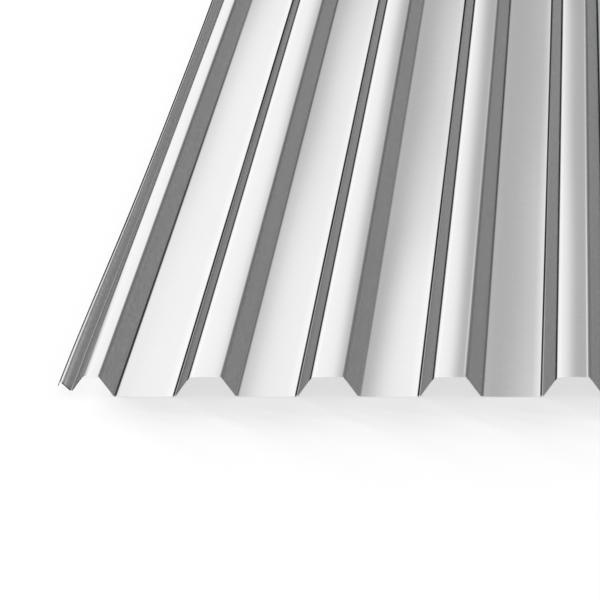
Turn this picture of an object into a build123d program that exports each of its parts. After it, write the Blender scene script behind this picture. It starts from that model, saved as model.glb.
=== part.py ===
from build123d import *
import os
from math import radians, tan

# Roll-formed sheet with trapezoidal ribs, bent from one strip of galvanised steel.
# It lies on the undersides of its valleys. X runs across the ribs, Y along them, and Z is up.
# Lengths are millimetres, angles are degrees from the horizontal.
# Widths and drops are taken between the sharp corners of the strip's mid-line, before the bends round them.

# Stock
sheet_length = 3000.0
thickness = 0.5

# Ribs
rib_pitch = 125.0
pitch_count = 8
rib_depth = 21.0
crown_width = 32.3
web_angle = 54.0
bend_radius = 3.0

# Underlap edge at -X: a narrow crown, a drainage groove and a stiffening lip
underlap_crown_width = 17.3
underlap_bend_radius = 5.5
groove_depth = 15.5
flank_rise = 11.4
flank_angle = 43.5
lip_drop = 5.6
lip_angle = 73.0
lip_bend_radius = 1.5

# Overlap edge at +X: a rib that covers the next sheet's underlap edge
lap_clearance = 0.3
lap_edge_gap = 2.5


def run_of(rise, angle):
    """Horizontal run of a slope that climbs by rise at an angle."""
    return rise / tan(radians(angle))


web_run = run_of(rib_depth, web_angle)
valley_width = rib_pitch - crown_width - 2 * web_run
groove_run = run_of(groove_depth, web_angle)
flank_run = run_of(flank_rise, flank_angle)
lip_run = run_of(lip_drop, lip_angle)

# The lip's crest reaches further out than a plain rib's web does at that height.
# The overlap rib is widened on its valley side to clear it, so the cover width stays eight pitches.
crest_reach = underlap_crown_width + groove_run + flank_run
plain_reach = crown_width + run_of(groove_depth - flank_rise, web_angle)
lap_widening = crest_reach - plain_reach + lap_clearance
lap_web_drop = rib_depth - lap_edge_gap


def underlap_edge():
    """Steps from the lip's tip, over its crest, down the groove and up to the end of the first crown."""
    steps = [
        (lip_run, lip_drop),
        (flank_run, -flank_rise),
        (groove_run, groove_depth),
        (underlap_crown_width, 0.0),
    ]
    radii = [lip_bend_radius, lip_bend_radius, underlap_bend_radius, bend_radius]
    return steps, radii


def wave(widening):
    """Steps of one pitch: a web down, a valley, a web up and a crown, with widening moved to the crown."""
    steps = [
        (web_run, -rib_depth),
        (valley_width - widening, 0.0),
        (web_run, rib_depth),
        (crown_width + widening, 0.0),
    ]
    return steps, [bend_radius] * len(steps)


def overlap_edge():
    """Step down the last web, which ends short of the next sheet's valley."""
    return [(run_of(lap_web_drop, web_angle), -lap_web_drop)], []


def strip_path():
    """Corners of the strip's mid-line from the lip to the overlap edge, and its radius at each bend."""
    widenings = [0.0] * (pitch_count - 1) + [lap_widening]
    stretches = [underlap_edge()] + [wave(widening) for widening in widenings] + [overlap_edge()]
    corners = [(0.0, 0.0)]
    radii = []
    for steps, bends in stretches:
        for run, rise in steps:
            x, z = corners[-1]
            corners.append((x + run, z + rise))
        radii += [inner + thickness / 2 for inner in bends]
    return corners, radii


def corrugated_sheet():
    """The bent strip, centred over the origin with its valleys' undersides at Z zero."""
    corners, radii = strip_path()
    with BuildPart() as sheet:
        with BuildSketch(Plane.XZ):
            with BuildLine() as mid_line:
                FilletPolyline(*corners, radius=radii)
            trace(mid_line.edges(), line_width=thickness)
        extrude(amount=sheet_length / 2, both=True)
    box = sheet.part.bounding_box()
    return Pos(-box.center().X, 0, -box.min.Z) * sheet.part


os.makedirs("parts", exist_ok=True)
export_step(corrugated_sheet(), "parts/corrugated_sheet.step")
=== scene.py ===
"""Looks of a roll-formed galvanised sheet with trapezoidal ribs, lying on a pale studio floor.

Lengths are metres and angles degrees, in the part's own frame: X across the ribs, Y along them,
Z up. Left is -X, and the front end is the cut end at -Y.
"""

import math
from collections import namedtuple

import bpy
import numpy as np
from mathutils import Matrix, Vector


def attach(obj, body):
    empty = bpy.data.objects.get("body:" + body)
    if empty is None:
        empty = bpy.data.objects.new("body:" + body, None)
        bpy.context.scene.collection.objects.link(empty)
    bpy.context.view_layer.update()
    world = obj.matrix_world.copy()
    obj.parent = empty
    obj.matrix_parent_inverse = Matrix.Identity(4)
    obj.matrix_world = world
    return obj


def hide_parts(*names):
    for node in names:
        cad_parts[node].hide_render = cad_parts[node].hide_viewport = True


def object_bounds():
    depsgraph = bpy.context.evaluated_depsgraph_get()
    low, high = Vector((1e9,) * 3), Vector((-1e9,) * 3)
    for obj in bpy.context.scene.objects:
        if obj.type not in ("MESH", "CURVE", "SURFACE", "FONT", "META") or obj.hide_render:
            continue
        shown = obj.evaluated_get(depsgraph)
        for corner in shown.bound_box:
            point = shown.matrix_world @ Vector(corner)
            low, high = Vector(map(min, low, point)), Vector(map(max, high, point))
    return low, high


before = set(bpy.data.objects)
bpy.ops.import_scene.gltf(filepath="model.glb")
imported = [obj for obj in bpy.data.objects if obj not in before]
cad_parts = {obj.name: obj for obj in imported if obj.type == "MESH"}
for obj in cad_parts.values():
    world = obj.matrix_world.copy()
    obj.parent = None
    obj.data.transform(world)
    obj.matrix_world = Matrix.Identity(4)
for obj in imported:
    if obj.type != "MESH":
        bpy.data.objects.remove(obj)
cad_low, cad_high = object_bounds()
MM = 0.001

# Stock and ribs, as the part has them
SHEET_LENGTH = 3000.0 * MM
THICKNESS = 0.5 * MM
RIB_PITCH = 125.0 * MM
PITCH_COUNT = 8
RIB_DEPTH = 21.0 * MM
CROWN_WIDTH = 32.3 * MM
WEB_ANGLE = 54.0
BEND_RADIUS = 3.0 * MM

# Underlap edge and overlap edge, as the part has them
UNDERLAP_CROWN_WIDTH = 17.3 * MM
UNDERLAP_BEND_RADIUS = 5.5 * MM
GROOVE_DEPTH = 15.5 * MM
FLANK_RISE = 11.4 * MM
FLANK_ANGLE = 43.5
LIP_DROP = 5.6 * MM
LIP_ANGLE = 73.0
LIP_BEND_RADIUS = 1.5 * MM
LAP_CLEARANCE = 0.3 * MM
LAP_EDGE_GAP = 2.5 * MM

# Relief that the rolls leave: a crown bulges up and a valley sags by the camber
CROWN_CAMBER = 0.40 * MM
VALLEY_CAMBER = 0.40 * MM
# The wave's depth and mean, and each of its sines: share, radians per metre along and across,
# and phase
WAVINESS = 0.05 * MM
WAVE_MEAN = 0.5
WAVES = ((0.3, 9.0, 7.0, 0.0), (0.2, 17.0, -23.0, 1.3))
# The underlap edge springs open at the cut ends. Away from them its lip stands in by EDGE_DRAW,
# and what lies further from the side by less, down to nothing at UNDERLAP_REACH.
UNDERLAP_REACH = 25.0 * MM
EDGE_DRAW = 6.2 * MM
EDGE_SPRING_LENGTH = 0.66

# Lean of the surface to the right, as its reflections show it: across crowns and valleys, at the
# lip's crest, and at the foot of the webs that rise to the right. The reach of the last two is
# a share of half the step.
CROWN_LEAN = 6.0
VALLEY_LEAN = 2.05
VALLEY_LEAN_FALL = 3.95
VALLEY_LEAN_BOW = 1.2
CREST_LEAN = -34.0
CREST_LEAN_REACH = 0.12
WEB_FOOT_LEAN = 6.0
WEB_FOOT_REACH = 0.2
# The lean's wander over the sheet: its degrees, and radians per metre along and across
LEAN_WANDER = 0.25
WANDER_ALONG = 5.0
WANDER_ACROSS = 40.0
# From the underlap edge on, how far each rib's crown and each valley turns back at its right
# edge, which shows as a pale line
CROWN_EDGE_LEANS = (0.0, 0.0, -4.0) + 5 * (-8.5,)
VALLEY_EDGE_LEANS = (0.0, 0.0, 0.0) + 5 * (-5.5,)
EDGE_LEAN_REACH = 2.2 * MM
# Near the front end the third valley is twisted to the left, more so at its right side
TWISTED_VALLEY = 3
TWIST_OFFSET = -1.7 * MM
TWIST_LEAN = -2.0
TWIST_FALL = -1.7
TWIST_REACH = 33.0 * MM
TWIST_LENGTH = 0.6

# Painted lines along each bend: place on the bend from its left end (0) to its right end (1),
# half width, and strength, which is above zero for painted shade, a darker and less metallic
# line, and below zero for a painted highlight
LIP_MARK = (-0.80, 1.6 * MM, 1.0)
CREST_MARKS = (LIP_MARK, (0.22, 1.50 * MM, 1.0), (0.64, 0.8 * MM, 0.8), (1.45, 0.65 * MM, 0.50))
GROOVE_MARKS = ((0.45, 0.9 * MM, 0.45),)
UNDERLAP_BEND_MARKS = ((0.34, 1.15 * MM, 0.95),)
CROWN_LEFT_MARKS = ((-0.11, 1.60 * MM, 1.0), (1.4, 0.9 * MM, -0.6))
CROWN_RIGHT_MARKS = ((0.45, 1.2 * MM, 0.5), (1.0, 1.2 * MM, 0.25))
VALLEY_LEFT_MARKS = ((0.45, 0.8 * MM, 0.75), (0.92, 0.9 * MM, 0.88), (1.9, 0.9 * MM, -0.6))
VALLEY_RIGHT_MARKS = (
    (-0.06, 1.05 * MM, 1.0),
    (0.44, 0.6 * MM, 0.35),
    (0.74, 0.6 * MM, 0.45),
    (-0.95, 1.0 * MM, -0.8),
)
# The marks are this share wider at the sheet's far end
MARK_SPREAD = 0.5
# Fading length of a mark that keeps its strength along the sheet
LASTING = 1000.0
# How dark the painted shade on each valley's left bend is, from the underlap edge on and then
# round again, and the length over which the first one's painted shade dies away
VALLEY_LEFT_SHARES = (1.0, 0.6, 0.5, 0.75)
FIRST_VALLEY_FADE = 2.4
# Near the front end the underlap crown's left bend has less painted shade but spread further
# out, and the lip's crest less painted shade
UNDERLAP_FRONT_MARKS = (
    (0.34, 1.15 * MM, -0.80),
    (0.55, 1.5 * MM, 0.40),
    (0.80, 2.1 * MM, 0.22),
)
UNDERLAP_FRONT_FADE = 0.32
CREST_FRONT_MARKS = ((0.64, 0.8 * MM, -0.8),)
CREST_FRONT_FADE = 0.6
# Painted lines at the cut ends: painted shade on the webs and on the underlap edge's slopes, a
# painted highlight on the flats, and how far in they fade out
END_MARK = 0.25
UNDERLAP_END_MARK = 0.85
END_HIGHLIGHT = -0.6
END_MARK_LENGTH = 4.5 * MM
# A slope's normal has more than this share across the ribs
STEEP = 0.6

# Grid of the surface: a flat has close steps beside each bend and even ones between them
EDGE_STEPS = np.array((0.0, 0.4, 0.8, 1.2, 1.7, 2.4)) * MM
FLAT_STEPS = 7
BEND_STEPS = 8
LENGTH_STEPS = 40

# Zinc: its tone, and how far the crystals, the streaks along Y and the clouds vary it
ZINC = 0.80
SPANGLE_SCALE = 140.0
SPANGLE_SHARE = 0.02
STREAK_SCALES = (600.0, 1.4, 600.0)
STREAK_SHARE = 0.03
CLOUD_SCALE = 5.0
CLOUD_SHARE = 0.02
NOISE_MEAN = 0.5
# The mottle comes in on the webs, as the normal's share across the ribs passes MOTTLE_FACING
MOTTLE_SCALES = (300.0, 75.0, 300.0)
WEB_MOTTLE = 0.45
MOTTLE_FACING = (0.5, 0.75)
# Streaks break the marks up: between these streak values, these shares of a mark are left
BREAK_STREAKS = (0.3, 0.7)
BREAK_SHARES = (0.92, 1.04)
# Painted shade takes this depth of the tone at each pass, and a painted highlight multiplies it
PAINTED_SHADE_DEPTH = 0.88
PAINTED_SHADE_PASSES = 2.0
PAINTED_HIGHLIGHT_SHARE = 1.15
# Roughness, and what the streaks, the crystals and the painted shade lines add to it
ROUGHNESS = 0.13
STREAK_ROUGHNESS = 0.04
SPANGLE_ROUGHNESS = 0.015
SHADE_LINE_ROUGHNESS = 0.12
# Cut steel, where the normal's share along the ribs is above this
CUT_FACING = 0.5
CUT_STEEL = 0.95
CUT_ROUGHNESS = 0.5

# Floor: its glow is the share of white that the camera and the zinc see in it
FLOOR_HALF = 60.0
FLOOR_DROP = 0.1 * MM
FLOOR_COLOUR = 0.70
FLOOR_GLOW = 0.64

# Ring of soft boxes round the sheet. A gap stands at GAP_AZIMUTH, and the other azimuths count
# from the nearest gap's middle. A pair of heights or azimuths is where a change starts and
# where it ends, and a gap's edges move out by the first widening below and the second above.
PANEL_LEVEL = 1.14
PANEL_EDGE_SHARE = 0.92
PANEL_EDGE_AZIMUTHS = (9.0, 19.0)
GAP_LEVEL = 0.50
GAP_FOOT_LEVEL = 0.18
GAP_FOOT_HEIGHTS = (4.0, 9.5)
GAP_AZIMUTH = 8.0
GAP_SPACING = 60.0
GAP_EDGE_AZIMUTHS = (7.2, 10.6)
GAP_WIDENINGS = (1.0, -0.3)
GAP_WIDENING_HEIGHTS = (10.0, 15.0)
HORIZON_LEVEL = 0.24
HORIZON_HEIGHTS = (2.0, 8.0)
CEILING_LEVEL = 0.62
CEILING_HEIGHTS = (17.0, 32.0)
# From glossy depth FIRST_REPEAT on, the zinc sees the first level up to the first share of the
# direction along Y, and the second level from the second share on
FIRST_REPEAT = 2.0
REPEAT_LEVELS = (0.253, 0.30)
REPEAT_REACH = (0.962, 0.984)

# Wide suns low behind the sheet's left end, which light the floor alone
LOW_LIGHT_AZIMUTHS = (-60.0, -45.0, -30.0)
LOW_LIGHT_ELEVATION = 4.5
LOW_LIGHT_ANGLE = 9.0
LOW_LIGHT_STRENGTH = 10.5

# Camera: its place and angles, and its lens and sensor in millimetres
EYE = Vector((0.0034, -6.4170, 1.3228))
EYE_DOWN = 13.919
EYE_LEFT = 3.285
EYE_ROLL = -0.832
FOCAL_LENGTH = 300.0
SENSOR_WIDTH = 36.0
SIGHT_END = 200.0

# The strip's mid-line: its points, its normals there, the normals' angles as the reflections
# show them, and the places along it
MidLine = namedtuple("MidLine", "points normals shown places")


def run_of(rise, angle):
    """Horizontal run of a slope that climbs by rise at an angle."""
    return rise / math.tan(math.radians(angle))


def no_lean(u):
    """Lean across a plain step: none. In this and the next four, u runs from -1 to 1 across it."""
    return 0.0 * u


def crown_lean(u):
    """Lean across a crown: u times the lean at its edges, which is convex."""
    return CROWN_LEAN * u


def valley_lean(u):
    """Lean across a valley: its mean, less the fall times u, plus the bow times u squared."""
    return VALLEY_LEAN - VALLEY_LEAN_FALL * u + VALLEY_LEAN_BOW * u * u


def flank_lean(u):
    """Lean across the groove's flank: the lip's crest, which dies as exp(-((u + 1) / r) ** 4)."""
    return CREST_LEAN * np.exp(-(((u + 1) / CREST_LEAN_REACH) ** 4))


def rising_web_lean(u):
    """Lean across a web that rises to the right: its foot, dying as exp(-((u + 1) / r) ** 2)."""
    return WEB_FOOT_LEAN * np.exp(-(((u + 1) / WEB_FOOT_REACH) ** 2))


def mark_rows(marks, share=1.0, fade=LASTING):
    """Marks with their strengths times a share, and the length over which each fades."""
    return [(place, width, share * strength, fade) for place, width, strength in marks]


def slope(rise):
    """Step up or down a web: run, rise, no camber and no lean at its right edge."""
    return (run_of(abs(rise), WEB_ANGLE), rise, 0.0, 0.0)


def flat(width, camber, edge_lean=0.0):
    """Level step, as its run, rise, camber and the lean added at its right edge.

    The camber is above zero on a crown and below zero in a valley. The step's ends are moved
    along the webs by it, so that the step's middle stays at full height or depth.
    """
    return (width + 2 * run_of(abs(camber), WEB_ANGLE), 0.0, camber, edge_lean)


def strip_steps():
    """Straight steps of the mid-line from the lip to the overlap edge, as rows of an array.

    With them come the rule for the lean across each, and the marks on each bend between two.
    """
    web_run = run_of(RIB_DEPTH, WEB_ANGLE)
    valley_width = RIB_PITCH - CROWN_WIDTH - 2 * web_run
    groove_run = run_of(GROOVE_DEPTH, WEB_ANGLE)
    flank_run = run_of(FLANK_RISE, FLANK_ANGLE)
    crest_reach = UNDERLAP_CROWN_WIDTH + groove_run + flank_run
    plain_reach = CROWN_WIDTH + run_of(GROOVE_DEPTH - FLANK_RISE, WEB_ANGLE)
    lap_widening = crest_reach - plain_reach + LAP_CLEARANCE
    underlap_camber = CROWN_CAMBER * (UNDERLAP_CROWN_WIDTH / CROWN_WIDTH) ** 2

    steps = [
        (run_of(LIP_DROP, LIP_ANGLE), LIP_DROP, 0.0, 0.0),
        (flank_run, -FLANK_RISE, 0.0, 0.0),
        slope(GROOVE_DEPTH - underlap_camber),
        flat(UNDERLAP_CROWN_WIDTH, underlap_camber),
    ]
    leans = [no_lean, flank_lean, no_lean, crown_lean]
    crest = mark_rows(CREST_MARKS) + mark_rows(CREST_FRONT_MARKS, fade=CREST_FRONT_FADE)
    underlap_bend = mark_rows(UNDERLAP_BEND_MARKS)
    underlap_bend += mark_rows(UNDERLAP_FRONT_MARKS, fade=UNDERLAP_FRONT_FADE)
    marks = [crest, mark_rows(GROOVE_MARKS), underlap_bend]
    camber = underlap_camber
    for index in range(PITCH_COUNT):
        widening = lap_widening if index == PITCH_COUNT - 1 else 0.0
        steps += [
            slope(-(RIB_DEPTH - camber - VALLEY_CAMBER)),
            flat(valley_width - widening, -VALLEY_CAMBER, VALLEY_EDGE_LEANS[index]),
            slope(RIB_DEPTH - CROWN_CAMBER - VALLEY_CAMBER),
            flat(CROWN_WIDTH + widening, CROWN_CAMBER, CROWN_EDGE_LEANS[index]),
        ]
        leans += [no_lean, valley_lean, rising_web_lean, crown_lean]
        share = VALLEY_LEFT_SHARES[index % len(VALLEY_LEFT_SHARES)]
        fade = FIRST_VALLEY_FADE if index == 0 else LASTING
        marks += [
            mark_rows(CROWN_RIGHT_MARKS),
            mark_rows(VALLEY_LEFT_MARKS, share, fade),
            mark_rows(VALLEY_RIGHT_MARKS),
            mark_rows(CROWN_LEFT_MARKS),
        ]
        camber = CROWN_CAMBER
    steps.append(slope(-(RIB_DEPTH - LAP_EDGE_GAP - camber)))
    leans.append(no_lean)
    marks.append(mark_rows(CROWN_RIGHT_MARKS))
    return np.array(steps), leans, marks


def in_turn(on_flats, on_bends):
    """Values on the flats and on the bends between them, put in one row along the mid-line."""
    pairs = np.concatenate([on_flats[:-1], on_bends], axis=1)
    return np.concatenate([pairs.reshape(-1, *pairs.shape[2:]), on_flats[-1]])


def strip_line():
    """The rounded mid-line, and its marks' table: centre, half width, strength and fade in a row.

    Each corner between two straight steps becomes an arc tangent to both: with turn t and
    radius r, the tangent points lie r * tan(t / 2) from the corner. A straight step runs
    between its tangent points and is cambered by c * (1 - u * u) along its normal, with u from
    -1 to 1 across it. Its edge lean dies with the distance d from its right end as
    exp(-(d / r) ** 4).
    """
    steps, lean_rules, bend_marks = strip_steps()
    moves, cambers, edge_leans = steps[:, :2], steps[:, 2:3], steps[:, 3:]
    corners = np.vstack([[0.0, 0.0], np.cumsum(moves, axis=0)])
    radii = np.full(len(corners) - 2, BEND_RADIUS)
    radii[:3] = (LIP_BEND_RADIUS, LIP_BEND_RADIUS, UNDERLAP_BEND_RADIUS)
    radii += THICKNESS / 2
    along = moves / np.hypot(*moves.T)[:, None]
    headings = np.arctan2(along[:, 1], along[:, 0])
    turns = np.diff(headings)
    setbacks = radii * np.tan(np.abs(turns) / 2)
    starts = corners[:-1] + along * np.append(0.0, setbacks)[:, None]
    ends = corners[1:] - along * np.append(setbacks, 0.0)[:, None]

    widths = np.hypot(*(ends - starts).T)[:, None]
    near = np.broadcast_to(EDGE_STEPS, (len(widths), len(EDGE_STEPS)))
    even = np.linspace(0.0, 1.0, FLAT_STEPS + 1)[1:-1]
    between = even * (widths - 2 * EDGE_STEPS[-1]) + EDGE_STEPS[-1]
    share = np.concatenate([near, between, widths - near[:, ::-1]], axis=1) / widths
    u = 2 * share - 1
    normals = np.stack([-along[:, 1], along[:, 0]], axis=1)
    lift = cambers * (1 - u * u)
    flats = starts[:, None] + (ends - starts)[:, None] * share[..., None]
    flats = flats + normals[:, None] * lift[..., None]
    flat_angles = headings[:, None] + np.arctan(-4 * cambers * u / widths)
    leans = np.array([rule(across) for rule, across in zip(lean_rules, u)])
    leans += edge_leans * np.exp(-(((1 - share) * widths / EDGE_LEAN_REACH) ** 4))
    flats_shown = headings[:, None] - np.radians(leans)

    sweep = np.linspace(0.0, 1.0, BEND_STEPS + 1)[1:-1]
    spoke_lengths = np.sign(turns) * radii
    centres = ends[:-1] + normals[:-1] * spoke_lengths[:, None]
    bend_angles = headings[:-1, None] + turns[:, None] * sweep
    spokes = np.stack([np.sin(bend_angles), -np.cos(bend_angles)], axis=-1)
    bends = centres[:, None] + spokes * spoke_lengths[:, None, None]
    bends_shown = flats_shown[:-1, -1:] + (flats_shown[1:, :1] - flats_shown[:-1, -1:]) * sweep

    arcs = radii * np.abs(turns)
    arc_starts = np.cumsum(widths[:-1, 0]) + np.append(0.0, np.cumsum(arcs[:-1]))
    flat_places = share * widths + np.append(0.0, arc_starts + arcs)[:, None]
    bend_places = arc_starts[:, None] + arcs[:, None] * sweep
    marks = np.array([
        (start + arc * place, width, strength, fade)
        for start, arc, rows in zip(arc_starts, arcs, bend_marks)
        for place, width, strength, fade in rows
    ])

    angles = in_turn(flat_angles, bend_angles)
    line = MidLine(
        points=in_turn(flats, bends),
        normals=np.stack([-np.sin(angles), np.cos(angles)], axis=1),
        shown=in_turn(flats_shown, bends_shown),
        places=in_turn(flat_places, bend_places),
    )
    return line, marks


def there_and_back(values):
    """Values along the mid-line, as they follow each other round both faces of the strip."""
    return np.concatenate([values, values[::-1]])


def section_loop(line):
    """The strip's outline: the mid-line moved half a thickness each way, centred as the part."""
    offset = line.normals * THICKNESS / 2
    loop = np.concatenate([line.points + offset, (line.points - offset)[::-1]])
    loop[:, 0] -= (loop[:, 0].min() + loop[:, 0].max()) / 2
    loop[:, 1] += RIB_DEPTH + THICKNESS - loop[:, 1].max()
    return loop


def length_stations():
    """Stations along Y: even ones, and one more inside each cut end for its marks."""
    even = np.linspace(-SHEET_LENGTH / 2, SHEET_LENGTH / 2, LENGTH_STEPS - 1)
    low, high = even[:1], even[-1:]
    return np.concatenate([low, low + END_MARK_LENGTH, even[1:-1], high - END_MARK_LENGTH, high])


def carried_along(loop, stations):
    """The outline carried along Y, as X, Y and Z by station and place.

    The rolls leave a slight wave, a mean and two sines along Y whose phases drift across the
    ribs. It lowers the crowns and lifts the valleys. The underlap edge is drawn in by
    1 - exp(-(d / s) ** 2) at the distance d from a cut end, in proportion to the distance from
    the first crown.
    """
    y = np.broadcast_to(stations[:, None], (len(stations), len(loop)))
    free = (cad_low[0] + UNDERLAP_REACH - loop[:, 0]) / UNDERLAP_REACH
    drawn = 1 - np.exp(-(((SHEET_LENGTH / 2 - np.abs(y)) / EDGE_SPRING_LENGTH) ** 2))
    x = loop[:, 0] + EDGE_DRAW * np.clip(free, 0.0, 1.0) * drawn
    wave = WAVE_MEAN + sum(
        share * np.sin(along * y + across * x + phase) for share, along, across, phase in WAVES
    )
    upper = 2 * loop[:, 1] / (RIB_DEPTH + THICKNESS) - 1
    z = loop[:, 1] - WAVINESS * wave * upper
    return x, y, z


def shell_faces(count):
    """Faces of the shell round count places: its walls, then a cap on each cut end.

    The second thing given back says which faces are smooth: the walls but for the two narrow
    ones at the strip's long edges.
    """
    rows = np.arange(LENGTH_STEPS)[:, None] * count
    here = np.arange(count)
    after = (here + 1) % count
    walls = [rows + here, rows + after, rows + count + after, rows + count + here]
    walls = np.stack(walls, axis=-1).reshape(-1, 4)
    k = np.arange(count // 2 - 1)
    cap = np.stack([k, count - 1 - k, count - 2 - k, k + 1], axis=-1)
    faces = np.concatenate([walls, cap, cap[:, ::-1] + LENGTH_STEPS * count])
    narrow = (here == count // 2 - 1) | (here == count - 1)
    smooth = np.zeros(len(faces), bool)
    smooth[: len(walls)] = ~np.tile(narrow, LENGTH_STEPS)
    return faces, smooth


def twist_lean(x, y):
    """Lean added where the front end is twisted: a straight line across the valley.

    It dies as exp(-(d / w) ** 8) with the distance d from the valley's middle, and as
    exp(-(s / f) ** 4) with the length s from the front end.
    """
    middle = (TWISTED_VALLEY - (PITCH_COUNT + 1) / 2) * RIB_PITCH + TWIST_OFFSET
    across = (x - middle) / TWIST_REACH
    along = (y + SHEET_LENGTH / 2) / TWIST_LENGTH
    return (TWIST_LEAN + TWIST_FALL * across) * np.exp(-(across**8) - along**4)


def shown_normals(shown, x, y):
    """Normals as the reflections show them, which point the other way on the underside.

    The angles shown are turned by a sine that wanders along and across the sheet, and by the
    twist.
    """
    wander = LEAN_WANDER * np.sin(WANDER_ALONG * y + WANDER_ACROSS * x)
    angles = there_and_back(shown) + np.radians(wander - twist_lean(x, y))
    side = np.repeat((1.0, -1.0), len(shown))
    return np.stack([-np.sin(angles) * side, 0.0 * angles, np.cos(angles) * side], axis=-1)


def mark_strengths(places, marks, stations):
    """Strength of the painted shade and highlight, as stations along the sheet by places across
    it.

    A mark of half width w fades across the sheet with the distance d as exp(-(d / w) ** 4), and
    along it with the length s from the front end as exp(-(s / f) ** 2). Its width grows with s
    by MARK_SPREAD over the whole length.
    """
    centre, width, strength, fade = marks.T
    gone = (stations + SHEET_LENGTH / 2)[:, None, None]
    spread = 1 + MARK_SPREAD * gone / SHEET_LENGTH
    across = np.exp(-(((places[:, None] - centre) / (width * spread)) ** 4))
    return (across * strength * np.exp(-((gone / fade) ** 2))).sum(axis=-1)


def end_strengths(normals, x, y):
    """Strength of the painted lines at the cut ends: shade on the slopes, a highlight on the
    flats.
    """
    at_end = np.isclose(np.abs(y), SHEET_LENGTH / 2)
    steep = np.abs(there_and_back(normals)[:, 0]) > STEEP
    end_shade = np.where(x < cad_low[0] + UNDERLAP_REACH, UNDERLAP_END_MARK, END_MARK)
    return at_end * np.where(steep, end_shade, END_HIGHLIGHT)


def sheet_mesh():
    """The sheet as a closed shell, with shown normals and painted shade and highlights on its
    points.
    """
    line, marks = strip_line()
    loop = section_loop(line)
    stations = length_stations()
    x, y, z = carried_along(loop, stations)
    faces, smooth = shell_faces(len(loop))
    mesh = bpy.data.meshes.new("sheet")
    mesh.from_pydata(np.stack([x, y, z], axis=-1).reshape(-1, 3), [], faces)
    mesh.polygons.foreach_set("use_smooth", smooth)
    mesh.update()

    face_normals = np.empty(len(faces) * 3)
    mesh.polygons.foreach_get("normal", face_normals)
    corner_normals = shown_normals(line.shown, x, y).reshape(-1, 3)[faces]
    corner_normals[~smooth] = face_normals.reshape(-1, 1, 3)[~smooth]
    mesh.normals_split_custom_set(corner_normals.reshape(-1, 3))

    # Painted shade (above zero) and painted highlights (below zero) along the bends and cut ends
    upper = mark_strengths(line.places, marks, stations)
    strengths = np.concatenate([upper, upper[:, ::-1]], axis=1)
    strengths = strengths + end_strengths(line.normals, x, y)
    painted_shade_and_highlight = mesh.attributes.new("painted_shade_and_highlight", "FLOAT", "POINT")
    painted_shade_and_highlight.data.foreach_set("value", strengths.ravel())
    return mesh


class Wiring:
    """Short ways to add nodes: a number goes into a socket as its value, a socket as a link."""

    def __init__(self, owner):
        owner.use_nodes = True
        self.tree = owner.node_tree
        self.tree.nodes.clear()

    def put(self, socket, value):
        """Link a socket's value in, or set a plain one."""
        if isinstance(value, bpy.types.NodeSocket):
            self.tree.links.new(value, socket)
        else:
            socket.default_value = value

    def node(self, kind, settings=None, **inputs):
        """A node with its settings, and its inputs by name, with _ for a space."""
        made = self.tree.nodes.new(kind)
        for name, value in (settings or {}).items():
            setattr(made, name, value)
        for name, value in inputs.items():
            self.put(made.inputs[name.replace("_", " ")], value)
        return made

    def calc(self, operation, *values):
        """The result of a Math node."""
        made = self.node("ShaderNodeMath", {"operation": operation})
        for socket, value in zip(made.inputs, values):
            self.put(socket, value)
        return made.outputs[0]

    def ramp(self, value, limits, ends, kind="SMOOTHSTEP"):
        """A value that goes from the first end to the second between the limits."""
        made = self.node("ShaderNodeMapRange", {"interpolation_type": kind}, Value=value)
        for name, number in zip(("From Min", "From Max", "To Min", "To Max"), (*limits, *ends)):
            self.put(made.inputs[name], number)
        return made.outputs["Result"]

    def pick(self, mask, off, on):
        """The value off where the mask is 0, and the value on where it is 1."""
        return self.ramp(mask, (0.0, 1.0), (off, on))

    def noise(self, place, scale, detail):
        """Smooth noise over a place, about NOISE_MEAN."""
        made = self.node("ShaderNodeTexNoise", Vector=place, Scale=scale, Detail=detail)
        return made.outputs["Fac"]

    def stretched(self, place, scales):
        """A place with each axis scaled."""
        made = self.node("ShaderNodeMapping", Vector=place)
        made.inputs["Scale"].default_value = scales
        return made.outputs[0]


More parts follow.
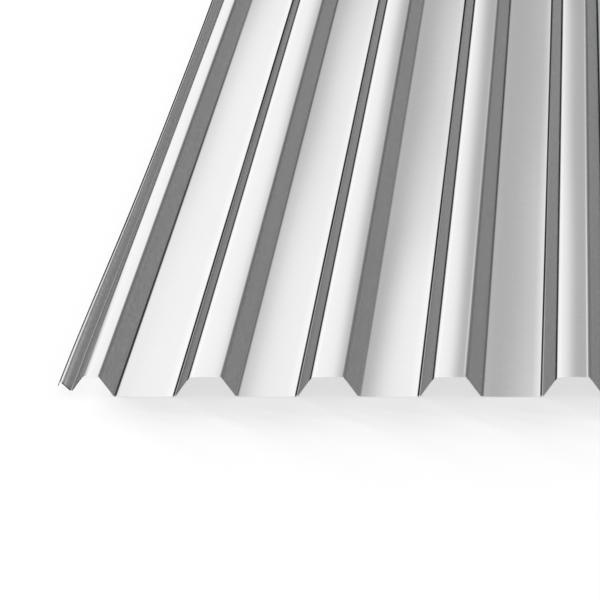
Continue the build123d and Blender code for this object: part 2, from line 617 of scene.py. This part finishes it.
def galvanised():
    """Bright zinc: faint spangle, streaks along the rolls' travel, painted shade and highlights.
    """
    material = bpy.data.materials.new("galvanised_steel")
    wiring = Wiring(material)
    calc, ramp = wiring.calc, wiring.ramp
    place = wiring.node("ShaderNodeTexCoord").outputs["Object"]
    normal = wiring.node("ShaderNodeNewGeometry").outputs["True Normal"]
    facing = wiring.node("ShaderNodeSeparateXYZ", Vector=normal)
    mark = wiring.node("ShaderNodeAttribute", {"attribute_name": "painted_shade_and_highlight"}).outputs["Fac"]

    cells = wiring.node("ShaderNodeTexVoronoi", Vector=place, Scale=SPANGLE_SCALE)
    crystal = wiring.node("ShaderNodeSeparateColor", Color=cells.outputs["Color"]).outputs[0]
    streak = wiring.noise(wiring.stretched(place, STREAK_SCALES), 1.0, 3.0)
    cloud = wiring.noise(place, CLOUD_SCALE, 2.0)
    mottle = wiring.noise(wiring.stretched(place, MOTTLE_SCALES), 1.0, 2.0)
    tone = ZINC - (SPANGLE_SHARE + STREAK_SHARE + CLOUD_SHARE) * NOISE_MEAN
    tone = calc("MULTIPLY_ADD", crystal, SPANGLE_SHARE, tone)
    tone = calc("MULTIPLY_ADD", streak, STREAK_SHARE, tone)
    tone = calc("MULTIPLY_ADD", cloud, CLOUD_SHARE, tone)
    on_web = ramp(calc("ABSOLUTE", facing.outputs["X"]), MOTTLE_FACING, (0.0, WEB_MOTTLE))
    tone = calc("MULTIPLY_ADD", calc("SUBTRACT", mottle, NOISE_MEAN), on_web, tone)

    # Painted shade along the bends and cut ends darkens the tone and takes the metal away, and a
    # painted highlight brightens it
    broken = calc("MULTIPLY", mark, ramp(streak, BREAK_STREAKS, BREAK_SHARES))
    shade_amount = calc("MINIMUM", calc("MAXIMUM", broken, 0.0), 1.0)
    unshaded_once = calc("MULTIPLY_ADD", shade_amount, -PAINTED_SHADE_DEPTH, 1.0)
    unshaded = calc("POWER", unshaded_once, PAINTED_SHADE_PASSES)
    metallic = calc("SUBTRACT", 1.0, calc("MULTIPLY", shade_amount, shade_amount))
    highlight_gain = ramp(mark, (-1.0, 0.0), (PAINTED_HIGHLIGHT_SHARE, 1.0), "LINEAR")
    tone = calc("MULTIPLY", calc("MULTIPLY", tone, unshaded), highlight_gain)
    rough = calc("MULTIPLY_ADD", streak, STREAK_ROUGHNESS, ROUGHNESS)
    rough = calc("MULTIPLY_ADD", crystal, SPANGLE_ROUGHNESS, rough)
    rough = calc("MULTIPLY_ADD", shade_amount, SHADE_LINE_ROUGHNESS, rough)

    cut = calc("GREATER_THAN", calc("ABSOLUTE", facing.outputs["Y"]), CUT_FACING)
    tone = wiring.pick(cut, tone, calc("MULTIPLY", CUT_STEEL, unshaded))
    rough = wiring.pick(cut, rough, CUT_ROUGHNESS)
    colour = wiring.node("ShaderNodeCombineColor", Red=tone, Green=tone, Blue=tone).outputs[0]
    shader = wiring.node(
        "ShaderNodeBsdfPrincipled",
        Base_Color=colour,
        Metallic=metallic,
        Roughness=rough,
        Specular_IOR_Level=0.0,
    )
    wiring.node("ShaderNodeOutputMaterial", Surface=shader.outputs[0])
    return material


def add_sheet():
    """The sheet, in place of the part's own mesh."""
    sheet = bpy.data.objects.new("galvanised_sheet", sheet_mesh())
    bpy.context.scene.collection.objects.link(sheet)
    sheet.data.materials.append(galvanised())
    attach(sheet, "root")
    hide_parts("corrugated_sheet")


def add_floor():
    """A pale floor that takes shadows, and looks nearly white to the camera and in the zinc."""
    mesh = bpy.data.meshes.new("floor")
    outline = [(-1, -1), (1, -1), (1, 1), (-1, 1)]
    corners = [(FLOOR_HALF * x, FLOOR_HALF * y, -FLOOR_DROP) for x, y in outline]
    mesh.from_pydata(corners, [], [(0, 1, 2, 3)])
    floor = bpy.data.objects.new("floor", mesh)
    bpy.context.scene.collection.objects.link(floor)
    material = bpy.data.materials.new("studio_floor")
    wiring = Wiring(material)
    ray = wiring.node("ShaderNodeLightPath").outputs
    seen = wiring.calc("MAXIMUM", ray["Is Camera Ray"], ray["Is Glossy Ray"])
    diffuse = wiring.node("ShaderNodeBsdfDiffuse", Color=(*3 * (FLOOR_COLOUR,), 1.0))
    glow = wiring.node("ShaderNodeEmission", Color=(1.0, 1.0, 1.0, 1.0))
    mix = wiring.node("ShaderNodeMixShader", Fac=wiring.calc("MULTIPLY", seen, FLOOR_GLOW))
    wiring.put(mix.inputs[1], diffuse.outputs[0])
    wiring.put(mix.inputs[2], glow.outputs[0])
    wiring.node("ShaderNodeOutputMaterial", Surface=mix.outputs[0])
    floor.data.materials.append(material)
    return floor


def soft_box_ring(wiring, split):
    """Light from the world: soft boxes with narrow grey gaps, a dark horizon and a light ceiling.

    The azimuth is the angle of X and Y, and the height that of Z. The nearest gap is found by
    rounding the azimuth to whole gap spacings.
    """
    calc, ramp = wiring.calc, wiring.ramp
    turn = calc("ARCTAN2", split.outputs["X"], split.outputs["Y"])
    azimuth = calc("MULTIPLY", turn, math.degrees(1))
    height = calc("MULTIPLY", calc("ARCSINE", split.outputs["Z"]), math.degrees(1))
    turns = calc("DIVIDE", calc("SUBTRACT", azimuth, GAP_AZIMUTH), GAP_SPACING)
    off_gap = calc("ABSOLUTE", calc("SUBTRACT", turns, calc("ROUND", turns)))
    widening = ramp(height, GAP_WIDENING_HEIGHTS, GAP_WIDENINGS)
    from_gap = calc("SUBTRACT", calc("MULTIPLY", off_gap, GAP_SPACING), widening)
    panel_edge = PANEL_EDGE_SHARE * PANEL_LEVEL
    panel = ramp(from_gap, PANEL_EDGE_AZIMUTHS, (panel_edge, PANEL_LEVEL))
    gap = ramp(height, GAP_FOOT_HEIGHTS, (GAP_FOOT_LEVEL, GAP_LEVEL))
    ring = ramp(from_gap, GAP_EDGE_AZIMUTHS, (gap, panel))
    above = ramp(height, HORIZON_HEIGHTS, (HORIZON_LEVEL, ring))
    return ramp(height, CEILING_HEIGHTS, (above, CEILING_LEVEL))


def add_world():
    """The ring of soft boxes, which the camera sees as white.

    From the second reflection on, the level depends on the direction's share along Y alone, and
    is raised by the zinc's tone for each further reflection, so that it stays the same.
    """
    world = bpy.data.worlds.new("studio")
    bpy.context.scene.world = world
    wiring = Wiring(world)
    calc = wiring.calc
    where = wiring.node("ShaderNodeTexCoord").outputs["Generated"]
    split = wiring.node("ShaderNodeSeparateXYZ", Vector=where)
    ray = wiring.node("ShaderNodeLightPath").outputs
    depth = ray["Glossy Depth"]
    raised = calc("POWER", ZINC, calc("SUBTRACT", FIRST_REPEAT, depth))
    reach = calc("ABSOLUTE", split.outputs["Y"])
    repeated = calc("MULTIPLY", raised, wiring.ramp(reach, REPEAT_REACH, REPEAT_LEVELS, "LINEAR"))
    repeat = calc("GREATER_THAN", depth, FIRST_REPEAT - 0.5)
    lit = wiring.pick(repeat, soft_box_ring(wiring, split), repeated)
    shown = calc("MAXIMUM", lit, ray["Is Camera Ray"])
    background = wiring.node("ShaderNodeBackground", Color=shown, Strength=1.0)
    wiring.node("ShaderNodeOutputWorld", Surface=background.outputs[0])
    world.cycles.sampling_method = "NONE"


def add_camera():
    """The camera, turned to the left, tipped down and rolled as the photograph shows the sheet."""
    data = bpy.data.cameras.new("camera")
    data.sensor_width = SENSOR_WIDTH
    data.lens = FOCAL_LENGTH
    data.clip_end = SIGHT_END
    camera = bpy.data.objects.new("camera", data)
    bpy.context.scene.collection.objects.link(camera)
    left = Matrix.Rotation(math.radians(EYE_LEFT), 4, "Z")
    down = Matrix.Rotation(math.radians(90 - EYE_DOWN), 4, "X")
    roll = Matrix.Rotation(math.radians(EYE_ROLL), 4, "Z")
    camera.matrix_world = Matrix.Translation(EYE) @ left @ down @ roll
    bpy.context.scene.camera = camera


def add_low_lights(floor):
    """Suns that only draw the sheet's soft shadow on the floor."""
    lit = bpy.data.collections.new("lit_by_low_lights")
    lit.objects.link(floor)
    for index, azimuth in enumerate(LOW_LIGHT_AZIMUTHS):
        data = bpy.data.lights.new(f"low_light_{index}", "SUN")
        data.energy = LOW_LIGHT_STRENGTH
        data.angle = math.radians(LOW_LIGHT_ANGLE)
        sun = bpy.data.objects.new(data.name, data)
        bpy.context.scene.collection.objects.link(sun)
        tip, turn = math.radians(90 - LOW_LIGHT_ELEVATION), math.radians(180 - azimuth)
        sun.rotation_euler = (tip, 0.0, turn)
        sun.visible_glossy = False
        sun.light_linking.receiver_collection = lit


bpy.context.scene.view_settings.view_transform = "Standard"
add_sheet()
floor = add_floor()
add_world()
add_camera()
add_low_lights(floor)
